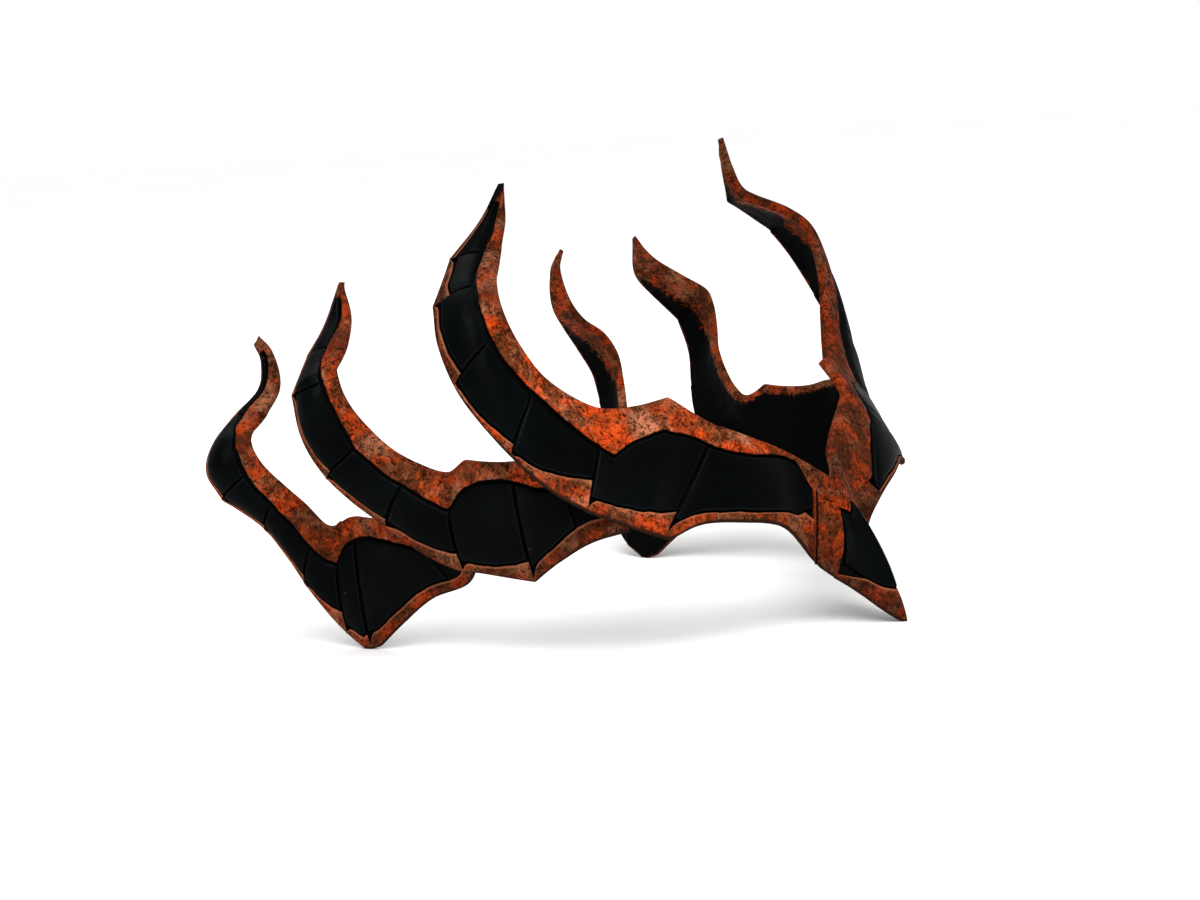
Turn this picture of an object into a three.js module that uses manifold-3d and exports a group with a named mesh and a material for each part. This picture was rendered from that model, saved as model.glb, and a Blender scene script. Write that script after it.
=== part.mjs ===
// A horned leather crown: a folded front plate with a beak, and two plates on each side tucked
// one under the other. Every plate sweeps up into a bowed horn and carries black scales set into
// a shallow channel between copper-painted borders. Millimetres, +Z up, the wearer faces -Y.
import * as THREE from 'three';
import { mergeVertices } from 'three/addons/utils/BufferGeometryUtils.js';
import Module from 'manifold-3d';

const wasm = await Module();
wasm.setup();

// Leather
const plateThickness = 3;
const channelDepth = 1.4;
const seatGap = 0.3;
const grooveGap = 0.6;
const scaleEdgeDrop = 0.5;
const scaleDome = 0.5;

// Head form that the plates are bent round: half an ellipse in front, straight sides behind
const headHalfWidth = 78;
const headFront = 95;
const leanBack = THREE.MathUtils.degToRad(23.2);
const rimLineHeight = 25;
const standHeight = 30.4;
const shiftBack = 27;
const frontArc = new THREE.EllipseCurve(0, 0, headHalfWidth, headFront, -Math.PI / 2, -Math.PI, true);
frontArc.arcLengthDivisions = 400;
const frontArcLength = frontArc.getLength();

// How much taller a horn stands on the wearer's left, and the sections over which it gains that
const leftFrontRise = { amount: 6.5, from: 12.5, to: 16.5 };
const leftMidRise = { amount: 0, from: 8, to: 15 };
const leftRearRise = { amount: 12, from: 8, to: 16 };

// Finishes
const copperLeather = { color: 0x7a3a1c, roughness: 0.6, metalness: 0.1 };
const blackLeather = { color: 0x17181b, roughness: 0.45, metalness: 0 };

// How finely the plates and scales are divided
const stepsPerSection = 2;
const stepsPerScaleSection = 1.4;
const plateColumns = [0, 0.3, 0.7, 1];
const scaleColumns = [0, 0.2, 0.8, 1];
const scaleBevel = 0.2;

// Cut patterns, a row for each section across the plate from its front end to its horn tip.
// rim is the outer edge and crest the inner edge, each as along (round the head from the centre
// front), up (above the front rim line) and out (standing off the head form).
// camber is how far the leather swells between the two edges.
const frontSections = [
  { rim: [0, -50.5, 2.5], crest: [0, -3, -0.5], camber: 3 },
  { rim: [5.4, -44, 0], crest: [3, 0, -1], camber: 1.5 },
  { rim: [10.3, -35.5, -2.8], crest: [6, 3.3, -1], camber: 0.5 },
  { rim: [17.7, -25, -5.5], crest: [10.3, 7.5, -1.8], camber: 0 },
  { rim: [21.3, -18, -4.4], crest: [14.5, 10.6, -1.5], camber: 0 },
  { rim: [30.8, -10, 3], crest: [19.5, 14.3, -1.2], camber: 0.5 },
  { rim: [44, -5, 9.5], crest: [26, 18, 0], camber: 1 },
  { rim: [55, -1.6, 14.7], crest: [33, 22, 2.7], camber: 1 },
  { rim: [64.4, -2.3, 19.3], crest: [39.7, 26.6, 4.7], camber: 1 },
  { rim: [69, 2, 20.6], crest: [47.5, 38.2, 3.2], camber: 1.5 },
  { rim: [73.6, 7.1, 22.8], crest: [57.5, 39, 6.3], camber: 2 },
  { rim: [79, 13.4, 25.6], crest: [66.5, 41.5, 11], camber: 2 },
  { rim: [84.7, 22.7, 29.2], crest: [72.3, 47.5, 16], camber: 2.5 },
  { rim: [89, 35.2, 34], crest: [76.4, 55.5, 21.8], camber: 3 },
  { rim: [92.4, 48.3, 36.6], crest: [78, 64.5, 27.7], camber: 3.5 },
  { rim: [94.6, 60.7, 36.5], crest: [78.4, 72.6, 30.7], camber: 4 },
  { rim: [95, 74.5, 34], crest: [78, 80.6, 30.5], camber: 4 },
  { rim: [93.7, 85.8, 29], crest: [77, 88, 23.8], camber: 3.5 },
  { rim: [88.4, 99.4, 13], crest: [74, 96.6, 10.6], camber: 2.5 },
  { rim: [78, 106.6, 9], crest: [70, 104.4, 7.4], camber: 1.5 },
  { rim: [68.7, 114.7, 7.9], crest: [67.1, 114.3, 7.9], camber: 0 },
];
const midSections = [
  { rim: [72.7, 4.6, 18.7], crest: [72, 34.5, 13.5], camber: 1 },
  { rim: [82.6, 5.8, 17.8], crest: [80.3, 34.6, 19], camber: 1 },
  { rim: [93.4, 4.9, 10.5], crest: [88.2, 35.6, 20.3], camber: 1 },
  { rim: [104, 3, 5], crest: [93.6, 36.9, 17.2], camber: 1 },
  { rim: [111.5, 7.5, 4], crest: [100.3, 40.2, 14.3], camber: 1.5 },
  { rim: [119, 12, 3.4], crest: [106.6, 44.1, 12.5], camber: 2 },
  { rim: [126.5, 16.5, 4], crest: [113.5, 43.5, 10], camber: 2 },
  { rim: [133, 25, 7], crest: [118.3, 48.3, 12], camber: 2.5 },
  { rim: [138.2, 36.3, 11], crest: [122.3, 55.6, 16.2], camber: 3 },
  { rim: [141.3, 47.7, 18], crest: [124.3, 64.8, 20.2], camber: 3.5 },
  { rim: [142, 58, 24], crest: [124.3, 72.8, 24.2], camber: 4 },
  { rim: [140.7, 69, 28], crest: [123.4, 79.8, 25.8], camber: 4 },
  { rim: [138.8, 81.7, 27], crest: [122.6, 85.6, 24.4], camber: 3.5 },
  { rim: [137, 93, 15], crest: [122.5, 92.3, 15.4], camber: 2.5 },
  { rim: [134, 100.6, 6], crest: [123.7, 101, 6.4], camber: 1.5 },
  { rim: [126.6, 109.8, 2.3], crest: [125.1, 110.4, 2.8], camber: 0 },
];
const rearSections = [
  { rim: [119.4, 17, 0], crest: [126, 36.6, 7.9], camber: 0 },
  { rim: [128, 11.5, -1.8], crest: [133, 39, 9], camber: 0 },
  { rim: [142, 12.2, -0.5], crest: [141, 40.3, 7], camber: 0.5 },
  { rim: [156.3, 9.3, 0], crest: [147, 41.5, 4.5], camber: 1 },
  { rim: [167.6, 6.3, 0], crest: [151.8, 43.7, 3.5], camber: 1 },
  { rim: [173.6, 7, 0], crest: [156.6, 46, 3], camber: 1.5 },
  { rim: [179, 17, 1], crest: [160.7, 46.1, 3], camber: 2 },
  { rim: [181, 30, 5], crest: [163.7, 46.3, 5], camber: 2.5 },
  { rim: [180, 42.2, 10], crest: [164, 54.4, 10], camber: 3 },
  { rim: [179.2, 53.3, 16], crest: [164.5, 61.6, 15], camber: 3.5 },
  { rim: [182.2, 65.7, 25], crest: [165, 69.7, 20], camber: 4 },
  { rim: [182, 74.7, 27], crest: [164.3, 76.7, 22], camber: 4 },
  { rim: [180, 82.4, 22], crest: [164, 82.6, 19], camber: 3 },
  { rim: [175.5, 89, 13], crest: [163.6, 87.2, 10], camber: 2 },
  { rim: [170.2, 94.3, 4], crest: [161.2, 93, 3.5], camber: 1.5 },
  { rim: [165.7, 101, 3], crest: [159.5, 102, 3], camber: 1 },
  { rim: [161.9, 106, 7], crest: [158.6, 107.4, 7.5], camber: 0 },
];

// Black scales, a row for each: the sections it runs between, and the widths of the copper border
// on its rim side and crest side at even stations from its front end to its back end. corners are
// the stations where a border turns sharply. The wearer's left brow carries more copper than the right.
const frontBrow = [
  [19.8, 9.5], [13, 3], [6.8, 2.1], [3.2, 3.2], [3, 5.5], [3.2, 7.6], [4.8, 8.3], [5.4, 7.6],
];
const leftBrow = [
  [2.2, 24], [2, 18], [1.8, 14.8], [1.8, 13.6], [2, 12.8], [2.2, 12.1], [2.8, 10.2], [3.6, 7.6],
];
const frontHump = [[8, 7.6], [6.6, 8.6], [6.1, 11.9], [5.5, 12.1], [4.9, 13], [4.6, 16.3], [4.4, 12.8]];
const midHump = [[6.9, 5.4], [5.4, 4.9], [4.3, 5.1], [3.5, 6.2], [3.1, 8], [3.1, 9], [3.2, 11.1]];
const frontScales = [
  { start: 2.42, end: 7.8, borders: frontBrow },
  { start: 7.8, end: 10.97, borders: frontHump, corners: [5] },
  { start: 10.97, end: 13.1, borders: [[9.8, 12.8], [7.6, 10.2], [5, 8.5], [2.6, 6.9], [1.5, 6.3]] },
  { start: 13.1, end: 14.95, borders: [[3.7, 6.3], [2.2, 6.3], [1.5, 6.2], [1.7, 5.7]] },
  { start: 14.95, end: 17, borders: [[3.9, 5.7], [2.7, 5.2], [2.2, 4.9], [2.1, 5.1]] },
  { start: 17, end: 18, borders: [[5.7, 5.1], [3.2, 5.4], [2.8, 5], [2.4, 4.4]] },
  { start: 18, end: 19.5, borders: [[2.4, 4.4], [1.9, 3.5], [1.5, 3], [1.3, 1.8]] },
];
const leftFrontScales = [{ start: 4.1, end: 7.8, borders: leftBrow }, ...frontScales.slice(1)];
const midScales = [
  { start: 1.2, end: 3, borders: [[6, 11], [5, 9.8], [4.6, 7.4], [4.2, 5.4]] },
  { start: 3, end: 6, borders: midHump },
  { start: 6, end: 7.25, borders: [[6, 11.1], [5, 9.6], [4.2, 8.6], [3.6, 7.9]] },
  { start: 7.25, end: 8.65, borders: [[4.2, 7.9], [3.6, 7.5], [3.2, 7], [3, 6.8]] },
  { start: 8.65, end: 11.4, borders: [[5.6, 6.8], [4.8, 5], [4.6, 4.1], [4.4, 4], [4, 3.9]] },
  { start: 11.4, end: 13, borders: [[3.4, 3.9], [2.4, 4.3], [1.8, 5], [1.5, 4.9]] },
  { start: 13, end: 14.6, borders: [[1.5, 4.9], [1.8, 3.1], [1.6, 2], [1.3, 1.3]] },
];
const rearScales = [
  { start: 1.3, end: 4.7, borders: [[4, 13.6], [4, 8.1], [4.5, 5.7], [5, 5.4], [5.5, 6.8]] },
  { start: 4.7, end: 6.1, borders: [[5, 6.8], [4.6, 7.5], [4, 8.2], [3.5, 9.5], [3.2, 12.6]] },
  { start: 6.1, end: 7.3, borders: [[6.5, 12.6], [4, 10.9], [2.4, 9.2], [1.5, 8.4]] },
  { start: 7.3, end: 8.95, borders: [[3, 8.4], [2.2, 7.6], [1.8, 6.8], [1.6, 5.9]] },
  { start: 8.95, end: 10, borders: [[2.2, 5.9], [1.8, 5.1], [1.6, 4.4]] },
  { start: 10, end: 13, borders: [[2.6, 4.4], [2, 3.7], [1.7, 3.9], [1.5, 4.2], [1.4, 5.8], [1.4, 6.6]] },
  { start: 13, end: 15.4, borders: [[1.4, 6.6], [1.4, 5.6], [1.4, 4], [1.3, 2.5], [1.2, 1.6]] },
];
// The beak's inset, from its centre spike on the fold to its slanting side
const beakBorders = [[10.5, 6.5], [9.2, 9.7], [8.7, 12.9], [8.3, 12.8], [8.4, 12.8]];
const beakScale = { start: 0, end: 0.85, borders: beakBorders, corners: [2], steps: 4 };

// Lean of the lines across a plate: [section at the crest, how many sections further along the
// line meets the rim]
const frontLeans = [
  [0, 0], [0.85, 1.75], [2.25, 0.93], [2.42, 0.93], [7.8, 0.2], [10.97, 0.13], [13.1, 0], [14.95, 0.1],
  [17, 0], [20, 0],
];
const midLeans = [[0, 0], [3, 0], [6, -0.3], [7.25, 0.8], [8.65, 1.2], [11.4, 0.7], [13, 0], [15, 0]];
const rearLeans = [[0, 0], [4.7, 0], [6.1, -0.35], [7.3, 0], [16, 0]];

const plates = {
  front: makePlate(frontSections, { rim: [8, 17, 18], crest: [9] }, leftFrontRise, frontLeans),
  mid: makePlate(midSections, { rim: [3, 12, 13], crest: [5] }, leftMidRise, midLeans),
  rear: makePlate(rearSections, { rim: [4, 5, 10], crest: [6] }, leftRearRise, rearLeans),
};

// A smooth line through points that may turn sharply at the listed corners
function smoothLine(points, corners = []) {
  const stops = [0, ...corners, points.length - 1];
  const runs = stops.slice(1).map((end, i) => {
    const run = points.slice(stops[i], end + 1);
    return new THREE.CatmullRomCurve3(run, false, 'catmullrom', 0.5);
  });
  return (u) => {
    const found = stops.findIndex((stop) => stop >= u);
    const i = Math.max(0, found - 1);
    return runs[i].getPoint((u - stops[i]) / (stops[i + 1] - stops[i]));
  };
}

function makePlate(sections, corners, leftRise, leans) {
  const toPoint = (values) => new THREE.Vector3(...values);
  return {
    leans,
    leftRise,
    last: sections.length - 1,
    rimLine: smoothLine(sections.map((row) => toPoint(row.rim)), corners.rim),
    crestLine: smoothLine(sections.map((row) => toPoint(row.crest)), corners.crest),
    camberLine: smoothLine(sections.map((row) => new THREE.Vector3(row.camber, 0, 0))),
  };
}

// The point at a place on the cut pattern, bent round the wearer's right side of the head form
function onForm({ x: along, y: up, z: out }) {
  const share = Math.min(along / frontArcLength, 1);
  const foot = frontArc.getPointAt(share);
  const tangent = frontArc.getTangentAt(share);
  const straight = Math.max(along - frontArcLength, 0);
  const x = foot.x + tangent.x * straight - tangent.y * out;
  const y = foot.y + tangent.y * straight + tangent.x * out;
  const z = up - rimLineHeight;
  return new THREE.Vector3(
    x,
    y * Math.cos(leanBack) + z * Math.sin(leanBack) + shiftBack,
    z * Math.cos(leanBack) - y * Math.sin(leanBack) + standHeight,
  );
}

// A place on a plate: u counts sections from its front end, v runs from rim (0) to crest (1)
function placeOn(plate, u, v, side) {
  const place = plate.rimLine(u).lerp(plate.crestLine(u), v);
  if (side < 0) {
    const { amount, from, to } = plate.leftRise;
    place.y += amount * THREE.MathUtils.smoothstep(u, from, to);
  }
  place.z += plate.camberLine(u).x * 4 * v * (1 - v);
  return onForm(place);
}

// The same place moved off the outer face along the leather's normal. The front plate's fold at
// the centre takes the mean normal of its two sides, lengthened so that the leather keeps its
// thickness.
function layerPoint(plate, u, v, depth, side) {
  const reach = 0.04;
  const uLow = Math.max(u - reach, 0);
  const uHigh = Math.min(u + reach, plate.last);
  const vLow = Math.max(v - reach, 0);
  const vHigh = Math.min(v + reach, 1);
  const alongU = placeOn(plate, uHigh, v, side).sub(placeOn(plate, uLow, v, side));
  const alongV = placeOn(plate, u, vHigh, side).sub(placeOn(plate, u, vLow, side));
  const normal = alongV.cross(alongU).normalize();
  if (plate === plates.front && u === 0) {
    const folded = normal.clone().setX(0).normalize();
    normal.copy(folded).divideScalar(folded.dot(normal));
  }
  const point = placeOn(plate, u, v, side).addScaledVector(normal, depth);
  point.x *= side;
  return point;
}

// A closed sheet from rows of {top, bottom} points, both faces and all four edges
function thickSheet(rows) {
  const rowCount = rows.length;
  const columnCount = rows[0].length;
  const positions = [];
  for (const face of ['top', 'bottom']) {
    rows.forEach((row) => row.forEach((cell) => positions.push(...cell[face].toArray())));
  }
  const top = (i, j) => i * columnCount + j;
  const bottom = (i, j) => rowCount * columnCount + top(i, j);
  const index = [];
  const quad = (a, b, c, d) => index.push(a, b, c, a, c, d);
  for (let i = 0; i + 1 < rowCount; i += 1) {
    for (let j = 0; j + 1 < columnCount; j += 1) {
      quad(top(i, j), top(i, j + 1), top(i + 1, j + 1), top(i + 1, j));
      quad(bottom(i, j), bottom(i + 1, j), bottom(i + 1, j + 1), bottom(i, j + 1));
    }
    const end = columnCount - 1;
    quad(bottom(i, 0), top(i, 0), top(i + 1, 0), bottom(i + 1, 0));
    quad(bottom(i, end), bottom(i + 1, end), top(i + 1, end), top(i, end));
  }
  for (let j = 0; j + 1 < columnCount; j += 1) {
    const end = rowCount - 1;
    quad(bottom(0, j), bottom(0, j + 1), top(0, j + 1), top(0, j));
    quad(bottom(end, j), top(end, j), top(end, j + 1), bottom(end, j + 1));
  }
  const geometry = new THREE.BufferGeometry();
  geometry.setAttribute('position', new THREE.Float32BufferAttribute(positions, 3));
  geometry.setIndex(index);
  return geometry;
}

function toSolid(geometry) {
  return new wasm.Manifold(new wasm.Mesh({
    numProp: 3,
    vertProperties: new Float32Array(geometry.attributes.position.array),
    triVerts: new Uint32Array(geometry.index.array),
  }));
}

function toGeometry(solid) {
  const { vertProperties, triVerts } = solid.getMesh();
  const geometry = new THREE.BufferGeometry();
  geometry.setAttribute('position', new THREE.BufferAttribute(vertProperties, 3));
  geometry.setIndex(new THREE.BufferAttribute(triVerts, 1));
  geometry.computeVertexNormals();
  return geometry;
}

// Stations along a stretch of a plate. A stretch is a list of [u, side] from its first end to its
// last, so that the front plate can run from its left horn over the fold to its right horn.
function stretch(from, to, steps, side) {
  const list = Array.from({ length: steps + 1 }, (_, i) => [from + ((to - from) * i) / steps, side]);
  return side > 0 ? list : list.reverse();
}

function plateSheet(plate, stations) {
  return thickSheet(stations.map(([u, side]) => plateColumns.map((v) => ({
    top: layerPoint(plate, u, v, 0, side),
    bottom: layerPoint(plate, u, v, -plateThickness, side),
  }))));
}

// Where a scale's channel lies between the borders at a section, as shares of the plate's width
function channelAt(plate, scale, u) {
  const widths = scale.borders.map(([rim, crest]) => new THREE.Vector3(rim, crest, 0));
  const borderLine = smoothLine(widths, scale.corners);
  const share = (u - scale.start) / (scale.end - scale.start);
  const border = borderLine(share * (scale.borders.length - 1));
  const width = plate.rimLine(u).distanceTo(plate.crestLine(u));
  return { low: border.x / width, high: 1 - border.y / width, width };
}

// Length of one section step along the plate's middle, to turn millimetres into section shares
function sectionLength(plate, u) {
  const nudge = 0.1;
  const a = placeOn(plate, Math.max(u - nudge, 0), 0.5, 1);
  const b = placeOn(plate, Math.min(u + nudge, plate.last), 0.5, 1);
  return a.distanceTo(b) / (2 * nudge);
}

// Where a leaning line that meets the crest at section u crosses the share v of the plate's width
function onLine(plate, u, v) {
  const next = Math.max(1, plate.leans.findIndex(([at]) => at >= u));
  const [before, leanBefore] = plate.leans[next - 1];
  const [after, leanAfter] = plate.leans[next];
  return u + THREE.MathUtils.mapLinear(u, before, after, leanBefore, leanAfter) * (1 - v);
}

// Stations of a scale, kept half a groove clear of the scale lines at its two ends
function scaleStations(plate, scale, clear, side) {
  const startGap = scale.start === 0 ? 0 : clear / sectionLength(plate, scale.start);
  const endGap = clear / sectionLength(plate, scale.end);
  const from = scale.start + startGap;
  const to = scale.end - endGap;
  const steps = scale.steps ?? Math.max(2, Math.ceil((scale.end - scale.start) * stepsPerScaleSection));
  return stretch(from, to, steps, side);
}

function channelRow(plate, scale, [u, side]) {
  const { low, high } = channelAt(plate, scale, u);
  return scaleColumns.map((share) => {
    const v = THREE.MathUtils.lerp(low, high, share);
    const along = onLine(plate, u, v);
    return {
      top: layerPoint(plate, along, v, channelDepth, side),
      bottom: layerPoint(plate, along, v, -channelDepth, side),
    };
  });
}

// The channel that all the scales of one horn lie in
function channelSheet(plate, scales, side) {
  const ordered = side > 0 ? scales : [...scales].reverse();
  return thickSheet(ordered.flatMap((scale) => scaleStations(plate, scale, grooveGap / 2, side)
    .map((station) => channelRow(plate, scale, station))));
}

// One scale, bevelled all round and domed, seated just clear of its channel
function scaleSheet(plate, scale, stations) {
  const lastRow = stations.length - 1;
  return thickSheet(stations.map(([u, side], i) => {
    const { low, high, width } = channelAt(plate, scale, u);
    const inset = grooveGap / width;
    const onEnd = i === 0 || i === lastRow;
    return scaleColumns.map((share) => {
      const v = THREE.MathUtils.lerp(low + inset, high - inset, share);
      const onEdge = onEnd || share === 0 || share === 1;
      const height = onEdge ? -scaleEdgeDrop : scaleDome * 4 * share * (1 - share);
      const along = onLine(plate, u, v);
      return {
        top: layerPoint(plate, along, v, height, side),
        bottom: layerPoint(plate, along, v, seatGap - channelDepth, side),
      };
    });
  }));
}

// Stations with a bevel step added just inside each end
function withBevels(stations) {
  const [first, second] = stations;
  const [beforeLast, last] = stations.slice(-2);
  const between = ([a, side], [b]) => [THREE.MathUtils.lerp(a, b, scaleBevel), side];
  return [first, between(first, second), ...stations.slice(1, -1), between(last, beforeLast), last];
}

// The surface that the crown stands on trims the beak's tip and the rear corners flat
function standCutter() {
  const size = 400;
  const box = new THREE.BoxGeometry(size, size, size);
  box.deleteAttribute('normal');
  box.deleteAttribute('uv');
  box.translate(0, 0, -size / 2);
  return toSolid(mergeVertices(box));
}

const crown = new THREE.Group();
crown.name = 'leather_crown';

function addPiece(name, geometry, look) {
  const piece = new THREE.Mesh(geometry, new THREE.MeshStandardMaterial(look));
  piece.name = name;
  crown.add(piece);
}

const stand = standCutter();
const sides = [
  { name: 'right', side: 1, brow: frontScales },
  { name: 'left', side: -1, brow: leftFrontScales },
];

// A plate with its channels sunk and its lowest points trimmed to the stand
function addPlate(name, plate, stations, channels) {
  const blank = toSolid(plateSheet(plate, stations));
  const sunk = channels.reduce((solid, channel) => solid.subtract(toSolid(channel)), blank);
  addPiece(name, toGeometry(sunk.subtract(stand)), copperLeather);
}

function addScales(name, plate, scales, side) {
  scales.forEach((scale, i) => {
    const stations = withBevels(scaleStations(plate, scale, grooveGap, side));
    addPiece(`${name}_${i + 1}`, toGeometry(toSolid(scaleSheet(plate, scale, stations))), blackLeather);
  });
}

// The front plate runs from its left horn's tip over the fold to its right horn's tip
const { front, mid, rear } = plates;
const frontSteps = front.last * stepsPerSection;
const frontStations = [
  ...stretch(0, front.last, frontSteps, -1),
  ...stretch(0, front.last, frontSteps, 1).slice(1),
];
const beakStations = (clear) => [
  ...scaleStations(front, beakScale, clear, -1),
  ...scaleStations(front, beakScale, clear, 1).slice(1),
];
const beakChannel = thickSheet(beakStations(0).map((station) => channelRow(front, beakScale, station)));
const frontChannels = sides.map(({ side, brow }) => channelSheet(front, brow, side));
addPlate('front_plate', front, frontStations, [beakChannel, ...frontChannels]);
const beakSheet = scaleSheet(front, beakScale, withBevels(beakStations(grooveGap)));
addPiece('beak_inset', toGeometry(toSolid(beakSheet)), blackLeather);

for (const { name, side, brow } of sides) {
  addScales(`front_scale_${name}`, front, brow, side);
  for (const [plateName, plate, scales] of [['mid', mid, midScales], ['rear', rear, rearScales]]) {
    const stations = stretch(0, plate.last, plate.last * stepsPerSection, side);
    addPlate(`${plateName}_plate_${name}`, plate, stations, [channelSheet(plate, scales, side)]);
    addScales(`${plateName}_scale_${name}`, plate, scales, side);
  }
}

export default crown;
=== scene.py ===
import math

import bmesh
import bpy
import numpy as np
from mathutils import Matrix, Vector


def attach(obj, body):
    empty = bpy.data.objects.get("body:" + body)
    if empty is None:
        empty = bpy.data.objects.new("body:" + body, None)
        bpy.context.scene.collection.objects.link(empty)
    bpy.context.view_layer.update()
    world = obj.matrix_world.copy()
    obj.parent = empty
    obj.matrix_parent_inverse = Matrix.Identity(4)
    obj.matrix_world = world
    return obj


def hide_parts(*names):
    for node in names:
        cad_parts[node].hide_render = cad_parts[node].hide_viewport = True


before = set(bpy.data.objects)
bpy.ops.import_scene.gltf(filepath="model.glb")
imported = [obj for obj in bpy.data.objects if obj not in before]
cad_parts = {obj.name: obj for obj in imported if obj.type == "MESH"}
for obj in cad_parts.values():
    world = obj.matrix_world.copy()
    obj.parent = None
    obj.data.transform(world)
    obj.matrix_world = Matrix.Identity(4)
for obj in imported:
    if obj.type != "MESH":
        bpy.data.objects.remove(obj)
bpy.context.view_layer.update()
scene = bpy.context.scene
mm = 0.001
print("frame loaded,", len(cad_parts), "leather pieces")


# camera: three quarter view from the wearer's right, a little above the brow
cameraView = {
    "azimuth": -54.3,
    "elevation": 7.47,
    "roll": -4.39,
    "distance": 0.9,
    "target": (0.0, 0.0281, 0.0504),
    "framedRight": 0.0102,  # the crown sits left of the picture's middle
    "lens": 83.7,
    "sensorWidth": 36,
    "nearest": 0.01,
}


def makeCamera(setup):
    turn, rise, roll = (math.radians(setup[key]) for key in ("azimuth", "elevation", "roll"))
    back = Vector((math.sin(turn) * math.cos(rise), -math.cos(turn) * math.cos(rise), math.sin(rise)))
    right = Vector((math.cos(turn), math.sin(turn), 0))
    right = Matrix.Rotation(roll, 3, back) @ right
    target = Vector(setup["target"])
    place = target + back * setup["distance"]
    back = (place - target - right * setup["framedRight"]).normalized()
    up = back.cross(right).normalized()
    right = up.cross(back)
    cameraData = bpy.data.cameras.new("camera")
    cameraData.lens = setup["lens"]
    cameraData.sensor_width = setup["sensorWidth"]
    cameraData.clip_start = setup["nearest"]
    camera = bpy.data.objects.new("camera", cameraData)
    scene.collection.objects.link(camera)
    turned = Matrix((right, up, back)).transposed()
    camera.matrix_world = Matrix.Translation(place) @ turned.to_4x4()
    scene.camera = camera


makeCamera(cameraView)


# node helpers; a socket takes a plain value or a link from another node
def addNode(tree, kind, **settings):
    node = tree.nodes.new(kind)
    for key, value in settings.items():
        setattr(node, key, value)
    return node


def feed(tree, socket, value):
    if isinstance(value, bpy.types.NodeSocket):
        tree.links.new(value, socket)
    else:
        socket.default_value = value


def feedAll(tree, node, values):
    for name, value in values.items():
        feed(tree, node.inputs[name], value)
    return node


def mixColour(tree, factor, first, second):
    node = addNode(tree, "ShaderNodeMix", data_type="RGBA")
    for socket, value in ((0, factor), (6, first), (7, second)):
        feed(tree, node.inputs[socket], value)
    return node.outputs[2]


def mathNode(tree, operation, first, second, clamp=False):
    node = addNode(tree, "ShaderNodeMath", operation=operation, use_clamp=clamp)
    feed(tree, node.inputs[0], first)
    feed(tree, node.inputs[1], second)
    return node.outputs[0]


def remap(tree, value, low, high, toLow=0.0, toHigh=1.0):
    node = addNode(tree, "ShaderNodeMapRange", interpolation_type="SMOOTHSTEP")
    feedAll(tree, node, {"Value": value, "From Min": low, "From Max": high,
                         "To Min": toLow, "To Max": toHigh})
    return node.outputs["Result"]


def noiseTexture(tree, coords, scale, detail, roughness=0.55, distortion=0.0):
    node = addNode(tree, "ShaderNodeTexNoise")
    feedAll(tree, node, {"Vector": coords, "Scale": scale, "Detail": detail, "Roughness": roughness,
                         "Distortion": distortion})
    return node.outputs["Fac"]


socketKinds = {"value": "NodeSocketFloat", "colour": "NodeSocketColor", "vector": "NodeSocketVector"}


def newGroup(name, inputs, outputs):
    group = bpy.data.node_groups.new(name, "ShaderNodeTree")
    for way, sockets in (("INPUT", inputs), ("OUTPUT", outputs)):
        for label, kind in sockets.items():
            group.interface.new_socket(label, in_out=way, socket_type=socketKinds[kind])
    return group, group.nodes.new("NodeGroupInput"), group.nodes.new("NodeGroupOutput")


def useGroup(tree, group, coords, values):
    node = addNode(tree, "ShaderNodeGroup", node_tree=group)
    return feedAll(tree, node, {"Vector": coords, **values})


# leather grain: fine pores over soft creases
def makeGrainGroup():
    group, start, end = newGroup(
        "leatherGrain",
        {"Vector": "vector", "Pore Scale": "value", "Crease Scale": "value", "Pore Depth": "value"},
        {"Height": "value"})
    coords = start.outputs["Vector"]
    pores = addNode(group, "ShaderNodeTexVoronoi", feature="F1")
    feedAll(group, pores, {"Vector": coords, "Scale": start.outputs["Pore Scale"]})
    creases = noiseTexture(group, coords, start.outputs["Crease Scale"], detail=6.0, roughness=0.65)
    poreHeight = mathNode(group, "MULTIPLY", pores.outputs["Distance"], start.outputs["Pore Depth"])
    group.links.new(mathNode(group, "ADD", poreHeight, creases), end.inputs["Height"])
    return group


# rubbed paint: three tones in patches, the pale one partly pinkish rubbed paint and partly painted sheen,
# burnt areas, dark flecks at two sizes and pale specks
# each mark gives the noise where it begins, where it is full, and its strength there
paintMarks = {
    "patch": (0.43, 0.61, 1.0),
    "pale": (0.48, 0.66, 0.8),
    "burn": (0.5, 0.66, 0.62),
    "fleck": (0.565, 0.4, 1.0),
    "speck": (0.57, 0.66, 0.45),
    "paleSize": 0.8,  # scales beside the patches' own
    "burnSize": 0.42,
    "coarseSize": 0.4,  # scale beside the fine flecks' own
    "coarseShare": 0.4,
    "aside": (3.1, 1.7, 5.3),  # keeps one noise from lying on another
}


def paintMark(group, noise, mark):
    begins, full, strength = paintMarks[mark]
    return remap(group, noise, begins, full, 0.0, strength)


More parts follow.
